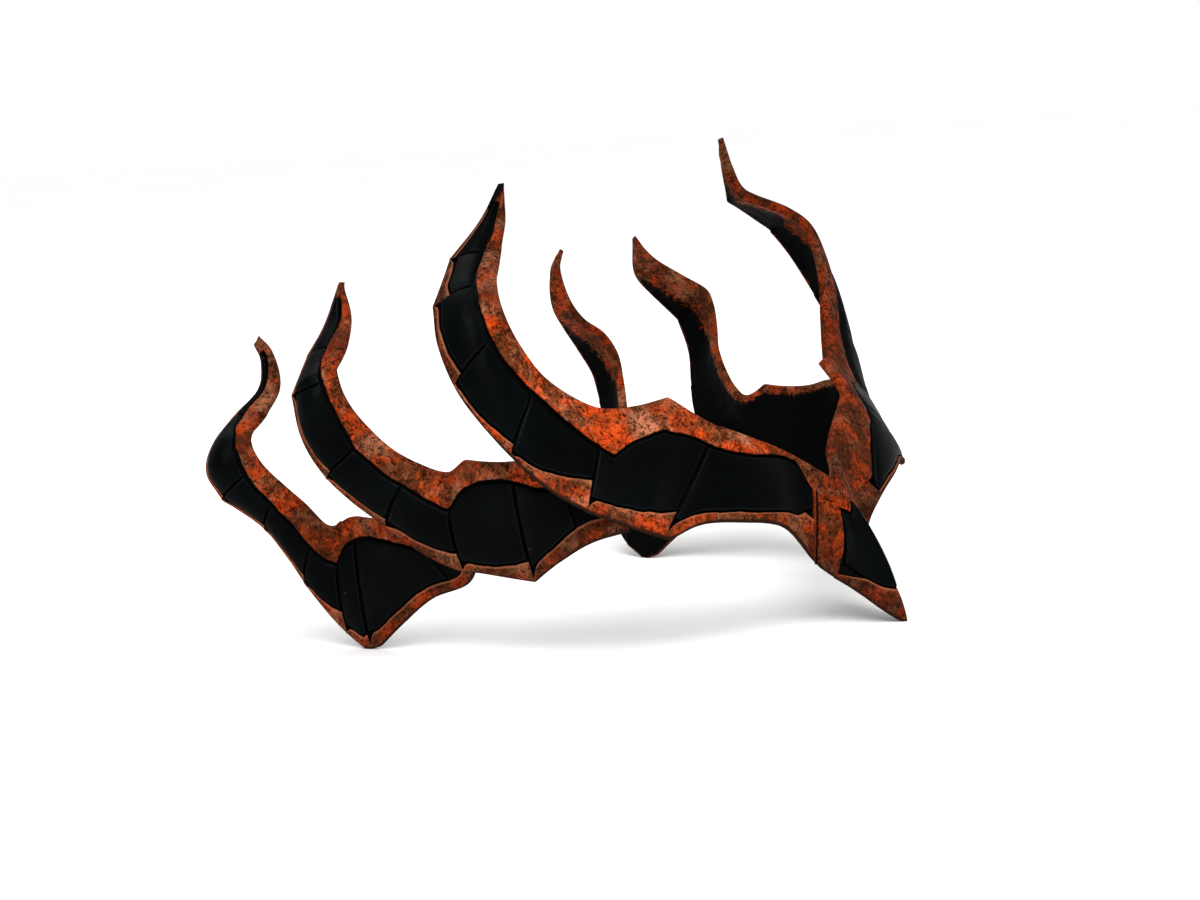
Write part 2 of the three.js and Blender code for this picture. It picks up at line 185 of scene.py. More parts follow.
def makePaintGroup():
    group, start, end = newGroup(
        "rubbedPaintWithSheen",
        {"Vector": "vector", "Patch Scale": "value", "Fleck Scale": "value", "Fleck Amount": "value",
         "Base": "colour", "Bright": "colour", "PaleAndSheen": "colour", "Dark": "colour"},
        {"Color": "colour", "Patch": "value", "Fleck": "value"})
    given = start.outputs
    coords, patchScale, fleckScale = given["Vector"], given["Patch Scale"], given["Fleck Scale"]
    shifted = addNode(group, "ShaderNodeVectorMath", operation="ADD")
    feed(group, shifted.inputs[0], coords)
    feed(group, shifted.inputs[1], paintMarks["aside"])
    aside = shifted.outputs[0]
    paleScale = mathNode(group, "MULTIPLY", patchScale, paintMarks["paleSize"])
    burnScale = mathNode(group, "MULTIPLY", patchScale, paintMarks["burnSize"])
    coarseScale = mathNode(group, "MULTIPLY", fleckScale, paintMarks["coarseSize"])
    patches = noiseTexture(group, coords, patchScale, detail=8.0, roughness=0.66, distortion=0.7)
    pales = noiseTexture(group, aside, paleScale, detail=7.0, roughness=0.66)
    burns = noiseTexture(group, aside, burnScale, detail=8.0, roughness=0.7)
    fine = noiseTexture(group, coords, fleckScale, detail=3.0, roughness=0.65, distortion=1.0)
    coarse = noiseTexture(group, aside, coarseScale, detail=4.0, roughness=0.7, distortion=0.8)
    finePart = mathNode(group, "MULTIPLY", fine, 1 - paintMarks["coarseShare"])
    coarsePart = mathNode(group, "MULTIPLY", coarse, paintMarks["coarseShare"])
    flecks = mathNode(group, "ADD", finePart, coarsePart)
    patchMask = paintMark(group, patches, "patch")
    fleckMask = mathNode(group, "MULTIPLY", paintMark(group, flecks, "fleck"), given["Fleck Amount"])
    darkMask = mathNode(group, "MAXIMUM", fleckMask, paintMark(group, burns, "burn"))
    colour = mixColour(group, patchMask, given["Base"], given["Bright"])
    # pale patches: partly pinkish rubbed paint, partly painted sheen
    colour = mixColour(group, paintMark(group, pales, "pale"), colour, given["PaleAndSheen"])
    colour = mixColour(group, darkMask, colour, given["Dark"])
    colour = mixColour(group, paintMark(group, flecks, "speck"), colour, given["PaleAndSheen"])
    feedAll(group, end, {"Color": colour, "Patch": patchMask, "Fleck": fleckMask})
    return group


# worn edge and painted highlight: an edge mask broken up by noise
def makeWearAndHighlightGroup():
    group, start, end = newGroup(
        "wearAndHighlightEdge",
        {"Vector": "vector", "Edge": "value", "Scale": "value", "Spread": "value"},
        {"Mask": "value"})
    noise = noiseTexture(group, start.outputs["Vector"], start.outputs["Scale"], detail=5.0)
    spread = mathNode(group, "MULTIPLY", mathNode(group, "SUBTRACT", noise, 0.5), start.outputs["Spread"])
    worn = mathNode(group, "ADD", start.outputs["Edge"], spread)
    group.links.new(remap(group, worn, 0.35, 0.65), end.inputs["Mask"])
    return group


leatherGrain = makeGrainGroup()
rubbedPaintWithSheen = makePaintGroup()
wearAndHighlightEdge = makeWearAndHighlightGroup()


def newMaterial(name):
    material = bpy.data.materials.new(name)
    material.use_nodes = True
    tree = material.node_tree
    shader = tree.nodes["Principled BSDF"]
    coords = addNode(tree, "ShaderNodeTexCoord").outputs["Object"]
    return material, tree, shader, coords


def surfaceMask(tree, name):
    return addNode(tree, "ShaderNodeAttribute", attribute_name=name).outputs["Fac"]


def wearAndHighlightMask(tree, coords, name, wear):
    return useGroup(tree, wearAndHighlightEdge, coords, {"Edge": surfaceMask(tree, name), **wear}).outputs["Mask"]


def addGrain(tree, shader, coords, grain, bump):
    height = useGroup(tree, leatherGrain, coords, grain).outputs["Height"]
    node = feedAll(tree, addNode(tree, "ShaderNodeBump"), {"Height": height, **bump})
    tree.links.new(node.outputs["Normal"], shader.inputs["Normal"])


# copper painted leather: rust and copper rubbed over brown, black inside, on the edges and in grooves
copperFinish = {
    "paint": {
        "Base": (0.15, 0.035, 0.009, 1),
        "Bright": (0.62, 0.062, 0.006, 1),
        # pale pinkish tone, partly the paint's own colour and partly painted sheen
        "PaleAndSheen": (0.5, 0.185, 0.09, 1),
        "Dark": (0.008, 0.0025, 0.001, 1),
        "Patch Scale": 115.0,
        "Fleck Scale": 950.0,
        "Fleck Amount": 0.92,
    },
    "edge": (0.02, 0.008, 0.0045, 1),
    "inside": (0.0006, 0.0006, 0.0007, 1),
    "tip": (0.0012, 0.001, 0.001, 1),
    "edgeWear": {"Scale": 400.0, "Spread": 0.5},
    "sprayWear": {"Scale": 700.0, "Spread": 1.1},
    "tipWear": {"Scale": 420.0, "Spread": 1.3},
    "sprayShade": 0.42,  # the spray inside is thinner, so it is darker
    "lipHighlightAmount": 0.26,
    "roughness": (0.6, 0.48),  # on the base and on bright patches
    "fleckRoughness": 0.15,
    "edgeRoughness": 0.3,
    "specular": 0.025,
    "grain": {"Pore Scale": 1500.0, "Crease Scale": 220.0, "Pore Depth": 0.35},
    "bump": {"Strength": 0.35, "Distance": 0.0004},
}


def makeCopperLeather(finish):
    material, tree, shader, coords = newMaterial("copperLeather")
    paint = useGroup(tree, rubbedPaintWithSheen, coords, finish["paint"]).outputs
    dark, pale = finish["paint"]["Dark"], finish["paint"]["PaleAndSheen"]
    edge = wearAndHighlightMask(tree, coords, "cutEdge", finish["edgeWear"])
    spray = wearAndHighlightMask(tree, coords, "sprayed", finish["sprayWear"])
    tip = wearAndHighlightMask(tree, coords, "hornTip", finish["tipWear"])
    overspray = mixColour(tree, finish["sprayShade"], paint["Color"], dark)
    inside = mixColour(tree, spray, finish["inside"], overspray)
    # painted highlight: a pale line along the copper's edge at the channel's rim side
    lip = mathNode(tree, "MULTIPLY", surfaceMask(tree, "paleLip"), finish["lipHighlightAmount"])
    # painted shade: the paint darkened towards its dark tone
    colour = mixColour(tree, surfaceMask(tree, "paintedShade"), paint["Color"], dark)
    colour = mixColour(tree, lip, colour, pale)
    colour = mixColour(tree, edge, colour, finish["edge"])
    colour = mixColour(tree, tip, colour, finish["tip"])
    colour = mixColour(tree, surfaceMask(tree, "sunken"), colour, finish["inside"])
    colour = mixColour(tree, surfaceMask(tree, "innerSide"), colour, inside)
    roughness = remap(tree, paint["Patch"], 0.0, 1.0, *finish["roughness"])
    fleckPart = mathNode(tree, "MULTIPLY", paint["Fleck"], finish["fleckRoughness"])
    edgePart = mathNode(tree, "MULTIPLY", edge, finish["edgeRoughness"])
    roughness = mathNode(tree, "ADD", roughness, fleckPart)
    roughness = mathNode(tree, "ADD", roughness, edgePart, clamp=True)
    feedAll(tree, shader, {"Base Color": colour, "Roughness": roughness,
                           "Specular IOR Level": finish["specular"]})
    addGrain(tree, shader, coords, finish["grain"], finish["bump"])
    return material


# black scales: satin dye with a blue cast, a painted grey highlight along the bevels, a few specks of
# dust
blackFinish = {
    "base": (0.0005, 0.0008, 0.0009, 1),
    "soft": (0.0012, 0.0019, 0.0021, 1),
    # the grey below is a painted highlight along the scales' bevels
    "paintedBevelHighlight": (0.003, 0.0038, 0.0043, 1),
    "speck": (0.06, 0.065, 0.07, 1),
    "cloudScale": 45.0,
    "speckScale": 150.0,
    "speckSize": (0.06, 0.03),
    "rareScale": 60.0,  # specks show only in the peaks of this noise
    "rare": (0.6, 0.66),
    "bevelHighlightBreakup": {"Scale": 520.0, "Spread": 0.7},
    "roughness": (0.48, 0.34),
    "specular": 0.02,
    "grain": {"Pore Scale": 1900.0, "Crease Scale": 320.0, "Pore Depth": 0.35},
    "bump": {"Strength": 0.22, "Distance": 0.0003},
}


def makeBlackLeather(finish):
    material, tree, shader, coords = newMaterial("blackLeather")
    clouds = remap(tree, noiseTexture(tree, coords, finish["cloudScale"], detail=5.0), 0.4, 0.7)
    # painted highlight: grey along the scales' bevels, broken up by noise
    paintedBevelHighlight = wearAndHighlightMask(tree, coords, "bevelEdge", finish["bevelHighlightBreakup"])
    specks = addNode(tree, "ShaderNodeTexVoronoi", feature="F1")
    feedAll(tree, specks, {"Vector": coords, "Scale": finish["speckScale"]})
    speckMask = remap(tree, specks.outputs["Distance"], *finish["speckSize"])
    rare = remap(tree, noiseTexture(tree, coords, finish["rareScale"], detail=2.0), *finish["rare"])
    speckMask = mathNode(tree, "MULTIPLY", speckMask, rare)
    colour = mixColour(tree, clouds, finish["base"], finish["soft"])
    colour = mixColour(tree, paintedBevelHighlight, colour, finish["paintedBevelHighlight"])
    colour = mixColour(tree, speckMask, colour, finish["speck"])
    roughness = remap(tree, clouds, 0.0, 1.0, *finish["roughness"])
    feedAll(tree, shader, {"Base Color": colour, "Roughness": roughness,
                           "Specular IOR Level": finish["specular"]})
    addGrain(tree, shader, coords, finish["grain"], finish["bump"])
    return material


copperLeather = makeCopperLeather(copperFinish)
blackLeather = makeBlackLeather(blackFinish)
print("finishes ready")


# the leather and the form that the plates are bent round, in millimetres
leather = {
    "thickness": 3.0,
    "channelDepth": 1.4,
    "groove": 0.5,
    "crestGroove": 1.1,
    "endGroove": 0.25,
    "seat": 0.3,
    "outerRound": 1.1,
    "innerRound": 0.5,
    "bevel": 0.4,
}
bendForm = {
    "halfWidth": 78.0,
    "front": 95.0,
    "lean": math.radians(23.2),
    "rimLine": 25.0,
    "stand": 30.4,
    "back": 27.0,
}

# plates are cut flat: rim and crest are the outer and inner edges, each as along the form from the
# centre front, up above the rim line and out from the form; camber swells the leather between
# scales run between two sections, with the copper border's width on the rim and crest sides at even
# stations and sharp turns at the listed corners
# leans: how many sections further along a line that meets the crest at a section meets the rim
# leftRise: how much taller the horn stands on the wearer's left; tipLength: black end of the horn
frontPlate = {
    "sections": [
        {"rim": (0, -50.5, 2.5), "crest": (0, -2.6, -0.5), "camber": 3},
        {"rim": (5.4, -44, 0), "crest": (3, 0.8, -1), "camber": 1.5},
        {"rim": (10.3, -35.5, -2.8), "crest": (6, 3.3, -1), "camber": 0.5},
        {"rim": (17.7, -25, -5.5), "crest": (10.3, 7.5, -1.8), "camber": 0},
        {"rim": (21.3, -18, -4.4), "crest": (14.5, 10.6, -1.5), "camber": 0},
        {"rim": (30.8, -10, 3), "crest": (19.5, 14.3, -1.2), "camber": 0.5},
        {"rim": (44, -5, 9.5), "crest": (26, 18, 0), "camber": 1},
        {"rim": (55, -1.6, 14.7), "crest": (33, 22, 2.7), "camber": 1},
        {"rim": (64.4, -2.3, 19.3), "crest": (39.7, 26.6, 4.7), "camber": 1},
        {"rim": (69, 2, 20.6), "crest": (47.5, 38.2, 3.2), "camber": 1.5},
        {"rim": (73.6, 7.1, 22.8), "crest": (57.5, 39, 6.3), "camber": 2},
        {"rim": (79, 13.4, 25.6), "crest": (66.5, 41.5, 11), "camber": 2},
        {"rim": (84.7, 22.7, 29.2), "crest": (72.3, 47.5, 16), "camber": 2.5},
        {"rim": (89, 35.2, 34), "crest": (76.4, 55.5, 21.8), "camber": 3},
        {"rim": (92.4, 48.3, 36.6), "crest": (78, 64.5, 27.7), "camber": 3.5},
        {"rim": (94.6, 60.7, 36.5), "crest": (78.4, 72.6, 30.7), "camber": 4},
        {"rim": (95, 74.5, 34), "crest": (78, 80.6, 30.5), "camber": 4},
        {"rim": (93.7, 85.8, 29), "crest": (77, 88, 23.8), "camber": 3.5},
        {"rim": (88.4, 99.4, 13), "crest": (74, 96.6, 10.6), "camber": 2.5},
        {"rim": (78, 106.6, 9), "crest": (70, 104.4, 7.4), "camber": 1.5},
        {"rim": (68.7, 114.7, 7.9), "crest": (67.1, 114.3, 7.9), "camber": 0},
    ],
    "rimCorners": [8, 17, 18],
    "crestCorners": [9],
    "leftRise": {"amount": 6.5, "start": 12.5, "end": 16.5},
    "leans": {
        "at": (0, 0.85, 2.25, 2.42, 7.8, 10.97, 13.1, 14.95, 17, 20),
        "amount": (0, 1.75, 0.93, 0.93, 0.5, 0.13, 0, 0.1, 0, 0),
    },
    # painted shade by section on each side: how far the paint is darkened
    "paintedShade": {
        "at": (0, 2, 4, 9, 13, 16, 18, 20),
        "right": (0.55, 0.5, 0.25, 0.1, 0.02, 0.3, 0.6, 0.6),
        "left": (0.6, 0.62, 0.58, 0.55, 0.66, 0.68, 0.7, 0.7),
    },
    # a dark patch near the rim at the beak's shoulder
    "darkPatch": {"at": 3.1, "reach": 0.6, "height": 0.22, "amount": 0.45},
    "tipLength": 11.0,
    "carvedLine": {"at": 2.25, "top": 0.8, "width": 0.5, "depth": 0.9},
    "scales": [
        {"start": 2.42, "end": 7.8,
         "borders": [(19.8, 9.5), (13, 3), (6.8, 2.1), (3.2, 3.2), (3, 5.5), (3.2, 7.6), (4.8, 8.3),
                     (5.4, 7.6)]},
        {"start": 7.8, "end": 10.97, "corners": [5],
         "borders": [(8, 7.6), (6.6, 8.6), (6.1, 11.9), (5.5, 12.1), (4.9, 13), (4.6, 16.3),
                     (4.4, 12.8)]},
        {"start": 10.97, "end": 13.1,
         "borders": [(9.8, 12.8), (7.6, 10.2), (5, 8.5), (2.6, 6.9), (1.5, 6.3)]},
        {"start": 13.1, "end": 14.95, "borders": [(3.7, 6.3), (2.2, 6.3), (1.5, 6.2), (1.7, 5.7)]},
        {"start": 14.95, "end": 17, "borders": [(3.9, 5.7), (2.7, 5.2), (2.2, 4.9), (2.1, 5.1)]},
        {"start": 17, "end": 18, "borders": [(5.7, 5.1), (3.2, 5.4), (2.8, 5), (2.4, 4.4)]},
        {"start": 18, "end": 19.5, "borders": [(2.4, 4.4), (1.9, 3.5), (1.5, 3), (1.3, 1.8)]},
    ],
    "leftBrow": {
        "start": 4.1, "end": 7.8,
        "borders": [(2.2, 24), (2, 18), (1.8, 14.8), (1.8, 13.6), (2, 12.8), (2.2, 12.1), (2.8, 10.2),
                    (3.6, 7.6)],
    },
}
midPlate = {
    "sections": [
        {"rim": (72.7, 4.6, 18.7), "crest": (72, 34.5, 13.5), "camber": 1},
        {"rim": (82.6, 5.8, 17.8), "crest": (80.3, 34.6, 19), "camber": 1},
        {"rim": (93.4, 4.9, 10.5), "crest": (88.2, 35.6, 20.3), "camber": 1},
        {"rim": (104, 3, 5), "crest": (93.6, 36.9, 17.2), "camber": 1},
        {"rim": (111.5, 7.5, 4), "crest": (100.3, 40.2, 14.3), "camber": 1.5},
        {"rim": (119, 12, 3.4), "crest": (106.6, 44.1, 12.5), "camber": 2},
        {"rim": (126.5, 16.5, 4), "crest": (113.5, 43.5, 10), "camber": 2},
        {"rim": (133, 25, 7), "crest": (118.3, 48.3, 12), "camber": 2.5},
        {"rim": (138.2, 36.3, 11), "crest": (122.3, 55.6, 16.2), "camber": 3},
        {"rim": (141.3, 47.7, 18), "crest": (124.3, 64.8, 20.2), "camber": 3.5},
        {"rim": (142, 58, 24), "crest": (124.3, 72.8, 24.2), "camber": 4},
        {"rim": (140.7, 69, 28), "crest": (123.4, 79.8, 25.8), "camber": 4},
        {"rim": (138.8, 81.7, 27), "crest": (122.6, 85.6, 24.4), "camber": 3.5},
        {"rim": (137, 93, 15), "crest": (122.5, 92.3, 15.4), "camber": 2.5},
        {"rim": (134, 100.6, 6), "crest": (123.7, 101, 6.4), "camber": 1.5},
        {"rim": (126.6, 109.8, 2.3), "crest": (125.1, 110.4, 2.8), "camber": 0},
    ],
    "rimCorners": [3, 12, 13],
    "crestCorners": [5],
    "leftRise": {"amount": 0, "start": 8, "end": 15},
    "leans": {"at": (0, 3, 6, 7.25, 8.65, 11.4, 13, 15), "amount": (0, 0, -0.3, 0.8, 1.2, 0.7, 0, 0)},
    # painted shade by section, as on the front plate
    "paintedShade": {"at": (0, 9, 15), "right": (0.34, 0.3, 0.5), "left": (0.4, 0.5, 0.65)},
    "tipLength": 0,
    "scales": [
        {"start": 1.2, "end": 3, "borders": [(6, 11), (5, 9.8), (4.6, 7.4), (4.2, 5.4)]},
        {"start": 3, "end": 6,
         "borders": [(6.9, 5.4), (5.4, 4.9), (4.3, 5.1), (3.5, 6.2), (3.1, 8), (3.1, 9), (3.2, 11.1)]},
        {"start": 6, "end": 7.25, "borders": [(6, 11.1), (5, 9.6), (4.2, 8.6), (3.6, 7.9)]},
        {"start": 7.25, "end": 8.65, "borders": [(4.2, 7.9), (3.6, 7.5), (3.2, 7), (3, 6.8)]},
        {"start": 8.65, "end": 11.4, "borders": [(5.6, 6.8), (4.8, 5), (4.6, 4.1), (4.4, 4), (4, 3.9)]},
        {"start": 11.4, "end": 13, "borders": [(3.4, 3.9), (2.4, 4.3), (1.8, 5), (1.5, 4.9)]},
        {"start": 13, "end": 14.6, "borders": [(1.5, 4.9), (1.8, 3.1), (1.6, 2), (1.3, 1.3)]},
    ],
}
rearPlate = {
    "sections": [
        {"rim": (119.4, 17, 0), "crest": (126, 36.6, 7.9), "camber": 0},
        {"rim": (128, 11.5, -1.8), "crest": (133, 39, 9), "camber": 0},
        {"rim": (142, 12.2, -0.5), "crest": (141, 40.3, 7), "camber": 0.5},
        {"rim": (156.3, 9.3, 0), "crest": (147, 41.5, 4.5), "camber": 1},
        {"rim": (167.6, 6.3, 0), "crest": (151.8, 43.7, 3.5), "camber": 1},
        {"rim": (173.6, 7, 0), "crest": (156.6, 46, 3), "camber": 1.5},
        {"rim": (179, 17, 1), "crest": (160.7, 46.1, 3), "camber": 2},
        {"rim": (181, 30, 5), "crest": (163.7, 46.3, 5), "camber": 2.5},
        {"rim": (180, 42.2, 10), "crest": (164, 54.4, 10), "camber": 3},
        {"rim": (179.2, 53.3, 16), "crest": (164.5, 61.6, 15), "camber": 3.5},
        {"rim": (182.2, 65.7, 25), "crest": (165, 69.7, 20), "camber": 4},
        {"rim": (182, 74.7, 27), "crest": (164.3, 76.7, 22), "camber": 4},
        {"rim": (180, 82.4, 22), "crest": (164, 82.6, 19), "camber": 3},
        {"rim": (175.5, 89, 13), "crest": (163.6, 87.2, 10), "camber": 2},
        {"rim": (170.2, 94.3, 4), "crest": (161.2, 93, 3.5), "camber": 1.5},
        {"rim": (165.7, 101, 3), "crest": (159.5, 102, 3), "camber": 1},
        {"rim": (161.9, 106, 7), "crest": (158.6, 107.4, 7.5), "camber": 0},
    ],
    "rimCorners": [4, 5, 10],
    "crestCorners": [6],
    "leftRise": {"amount": 12, "start": 8, "end": 16},
    "leans": {"at": (0, 4.7, 6.1, 7.3, 16), "amount": (0, 0, -0.35, 0, 0)},
    # painted shade by section, as on the front plate
    "paintedShade": {"at": (0, 9, 15), "right": (0.34, 0.3, 0.5), "left": (0.4, 0.5, 0.65)},
    "tipLength": 0,
    "scales": [
        {"start": 1.3, "end": 4.7, "borders": [(4, 13.6), (4, 8.1), (4.5, 5.7), (5, 5.4), (5.5, 6.8)]},
        {"start": 4.7, "end": 6.1,
         "borders": [(5, 6.8), (4.6, 7.5), (4, 8.2), (3.5, 9.5), (3.2, 12.6)]},
        {"start": 6.1, "end": 7.3, "borders": [(6.5, 12.6), (4, 10.9), (2.4, 9.2), (1.5, 8.4)]},
        {"start": 7.3, "end": 8.95, "borders": [(3, 8.4), (2.2, 7.6), (1.8, 6.8), (1.6, 5.9)]},
        {"start": 8.95, "end": 10, "borders": [(2.2, 5.9), (1.8, 5.1), (1.6, 4.4)]},
        {"start": 10, "end": 13,
         "borders": [(2.6, 4.4), (2, 3.7), (1.7, 3.9), (1.5, 4.2), (1.4, 5.8), (1.4, 6.6)]},
        {"start": 13, "end": 15.4,
         "borders": [(1.4, 6.6), (1.4, 5.6), (1.4, 4), (1.3, 2.5), (1.2, 1.6)]},
    ],
}
beakInset = {
    "start": 0,
    "end": 0.85,
    "corners": [2],
    "borders": [(10.5, 6.5), (9.2, 9.7), (8.7, 12.9), (8.3, 12.8), (8.4, 12.8)],
}


# smooth line through rows of values that may turn sharply at the listed corners
def smoothLine(values, corners=()):
    values = np.array(values, float)
    stops = [0, *corners, len(values) - 1]

    def at(u):
        u = np.asarray(u, float)
        found = np.zeros((len(u), values.shape[1]))
        for first, last in zip(stops, stops[1:]):
            inside = (u >= first) & (u <= last)
            run = values[first:last + 1]
            ends = np.vstack([2 * run[0] - run[1], run, 2 * run[-1] - run[-2]])
            t = u[inside] - first
            i = np.clip(np.floor(t).astype(int), 0, len(run) - 2)
            w = (t - i)[:, None]
            before, a, b, after = ends[i], ends[i + 1], ends[i + 2], ends[i + 3]
            leave, arrive = (b - before) / 2, (after - a) / 2
            found[inside] = ((2 * w**3 - 3 * w**2 + 1) * a + (w**3 - 2 * w**2 + w) * leave
                             + (3 * w**2 - 2 * w**3) * b + (w**3 - w**2) * arrive)
        return found

    return at


def smoothStep(value, low, high):
    t = np.clip((value - low) / (high - low), 0, 1)
    return t * t * (3 - 2 * t)


# quarter of the form's outline from the centre front to the side, by length along it
arcTurns = np.linspace(0, math.pi / 2, 2001)
arcX = -bendForm["halfWidth"] * np.sin(arcTurns)
arcY = -bendForm["front"] * np.cos(arcTurns)
arcLengths = np.concatenate([[0], np.cumsum(np.hypot(np.diff(arcX), np.diff(arcY)))])


# bends places on the flat pattern round the right side of the form
def onForm(place):
    along, up, out = place.T
    straight = np.maximum(along - arcLengths[-1], 0)
    turn = np.interp(along, arcLengths, arcTurns)
    ahead = np.stack([-bendForm["halfWidth"] * np.cos(turn), bendForm["front"] * np.sin(turn)])
    ahead /= np.linalg.norm(ahead, axis=0)
    x = -bendForm["halfWidth"] * np.sin(turn) + ahead[0] * straight - ahead[1] * out
    y = -bendForm["front"] * np.cos(turn) + ahead[1] * straight + ahead[0] * out
    z = up - bendForm["rimLine"]
    leanCos, leanSin = math.cos(bendForm["lean"]), math.sin(bendForm["lean"])
    return np.stack([x, y * leanCos + z * leanSin + bendForm["back"],
                     z * leanCos - y * leanSin + bendForm["stand"]], 1)


# the wearer's left brow carries more copper than the right
def scalesOn(plate, side):
    scales = plate["scales"]
    return [plate["leftBrow"], *scales[1:]] if side < 0 and "leftBrow" in plate else scales


def readyScale(scale):
    scale["borderLine"] = smoothLine(scale["borders"], scale.get("corners", ()))


def readyPlate(plate):
    sections = plate["sections"]
    plate["last"] = len(sections) - 1
    plate["rimLine"] = smoothLine([row["rim"] for row in sections], plate["rimCorners"])
    plate["crestLine"] = smoothLine([row["crest"] for row in sections], plate["crestCorners"])
    plate["camberLine"] = smoothLine([[row["camber"]] for row in sections])
    for side in (1, -1):
        for scale in scalesOn(plate, side):
            readyScale(scale)


# u counts sections from a plate's front end, v runs from its rim (0) to its crest (1)
def placeOn(plate, u, v, side):
    u = np.clip(u, 0, plate["last"])
    v = np.clip(v, 0, 1)
    place = plate["rimLine"](u) * (1 - v)[:, None] + plate["crestLine"](u) * v[:, None]
    rise = plate["leftRise"]
    if side < 0:
        place[:, 1] += rise["amount"] * smoothStep(u, rise["start"], rise["end"])
    place[:, 2] += plate["camberLine"](u)[:, 0] * 4 * v * (1 - v)
    return onForm(place)


# a point off the outer face along the leather's normal; near the beak's fold the normals of the two
# sides lean together so that the inner face doesn't cross itself
def layerPoint(plate, u, v, depth, side):
    reach = 0.04
    foldReach = 0.9
    alongU = placeOn(plate, u + reach, v, side) - placeOn(plate, u - reach, v, side)
    alongV = placeOn(plate, u, v + reach, side) - placeOn(plate, u, v - reach, side)
    normal = np.cross(alongV, alongU)
    normal /= np.linalg.norm(normal, axis=1)[:, None]
    if plate is frontPlate:
        folded = normal * (0, 1, 1)
        folded /= np.linalg.norm(folded, axis=1)[:, None]
        folded /= np.sum(folded * normal, axis=1)[:, None]
        near = np.clip(1 - u / foldReach, 0, 1)[:, None]
        normal = normal * (1 - near) + folded * near
    point = placeOn(plate, u, v, side) + normal * depth[:, None]
    point[:, 0] *= side
    point[:, 2] = np.maximum(point[:, 2], 0)  # the lowest corners are worn flat where the crown stands
    return point


def plateWidth(plate, u):
    return np.linalg.norm(plate["rimLine"](u) - plate["crestLine"](u), axis=1)


# length of one section along the plate's middle
def sectionLength(plate, u):
    nudge = 0.1
    ends = np.clip(np.array([u - nudge, u + nudge]), 0, plate["last"])
    points = placeOn(plate, ends, np.array([0.5, 0.5]), 1)
    return np.linalg.norm(points[1] - points[0]) / (2 * nudge)


def leanAt(plate, u):
    return np.interp(u, plate["leans"]["at"], plate["leans"]["amount"])


# section where a leaning line that meets the crest at u crosses the share v of the width
def onLine(plate, u, v):
    return u + leanAt(plate, u) * (1 - v)


# borders are a little uneven, as cut by hand: waves of height, pace and start on each side
handCut = {
    "rim": ((0.09, 7.9, 1.3), (0.05, 17.3, 0)),
    "crest": ((0.09, 6.7, 0.5), (0.05, 15.1, 2)),
}


def bordersAt(scale, u):
    stations = len(scale["borders"]) - 1
    share = np.clip((u - scale["start"]) / (scale["end"] - scale["start"]), 0, 1)
    wander = [sum(height * np.sin(pace * u + start) for height, pace, start in handCut[edge])
              for edge in ("rim", "crest")]
    return scale["borderLine"](share * stations) + np.stack(wander, 1)


def cornerPlaces(scale):
    step = (scale["end"] - scale["start"]) / (len(scale["borders"]) - 1)
    return [scale["start"] + corner * step for corner in scale.get("corners", ())]


# rings of both sides in one run; over the fold that is from the left horn to the right one
def joinSides(makeRings, sides):
    halves = []
    for side in sides:
        rings, masks = makeRings(side)
        order = slice(None, None, -1) if side < 0 else slice(len(halves), None)  # the fold's ring once
        halves.append((rings[order], {key: value[order] for key, value in masks.items()}))
    rings = np.concatenate([half[0] for half in halves])
    return rings, {key: np.concatenate([half[1][key] for half in halves]) for key in halves[0][1]}


# mesh from rings of points, closed at both ends, with its surface masks
def ringMesh(name, rings, masks, material):
    rowCount, ringCount = rings.shape[:2]
    index = np.arange(rowCount * ringCount).reshape(rowCount, ringCount)
    near, far = index[:-1], index[1:]
    quads = np.stack([near, np.roll(near, -1, 1), np.roll(far, -1, 1), far], -1).reshape(-1, 4)
    faces = quads.tolist() + [index[0][::-1].tolist(), index[-1].tolist()]
    mesh = bpy.data.meshes.new(name)
    mesh.from_pydata((rings.reshape(-1, 3) * mm).tolist(), [], faces)
    for label, values in masks.items():
        layer = mesh.attributes.new(label, "FLOAT", "POINT")
        layer.data.foreach_set("value", np.ascontiguousarray(values, np.float32).ravel())
    mesh.materials.append(material)
    mesh.update()
    shape = bmesh.new()
    shape.from_mesh(mesh)
    bmesh.ops.recalc_face_normals(shape, faces=shape.faces)
    shape.to_mesh(mesh)
    shape.free()
    mesh.shade_smooth()
    mesh.set_sharp_from_angle(angle=math.radians(50))
    piece = bpy.data.objects.new(name, mesh)
    scene.collection.objects.link(piece)
    return piece


def finishPiece(piece, nodeName):
    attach(piece, "root")
    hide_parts(nodeName)


# how a plate is divided, pared and painted, in millimetres
plateFinish = {
    "rowsPerSection": 8,
    "lineGap": 0.12,  # half the length of the step between two scales' borders
    "endSteps": (0.4, 0.8, 1.3, 1.9),  # rows before a scale's back end
    "carvedSteps": (-2, -1.3, -0.8, -0.4, 0, 0.4, 0.8, 1.3, 2),  # rows across the carved line
    "borderShares": (0, 0.12, 0.3, 0.5, 0.7, 0.88, 1),
    "floorShares": (0, 0.2, 0.4, 0.6, 0.8, 1),
    "innerShares": (0, 0.12, 0.3, 0.5, 0.65, 0.78, 0.87, 0.94, 1),
    "roundSteps": 4,
    "fullWidth": 6.0,  # edges get smaller where the plate is narrower than this
    "borderCrown": 0.2,
    "slitReach": 2.6,  # the channel narrows to a slit through the rim border at a scale's back end
    "slitBorder": 1.1,
    "slitShare": 0.8,
    "skiveReach": 5.0,  # the inner face is pared thinner towards the rim
    "skive": (0.8, 1.7),
    "tipTaper": 0.4,  # the leather is pared thin towards the horn's point
    "taperReach": 7.0,
    "sprayReach": 3.5,  # copper spray that went over the crest onto the inner face
    "tipSpray": 13.0,  # more of it on the horn
    "tipSprayReach": (38, 66),
    "rimSpray": 1.0,
    "tipSlant": 7.0,  # the black tip reaches further down the rim than the crest
    "leftTip": 0.45,  # the left horn's tip is less black
    "rimShade": 0.25,  # painted shade, darker along the rim
    "darkest": 0.85,
}


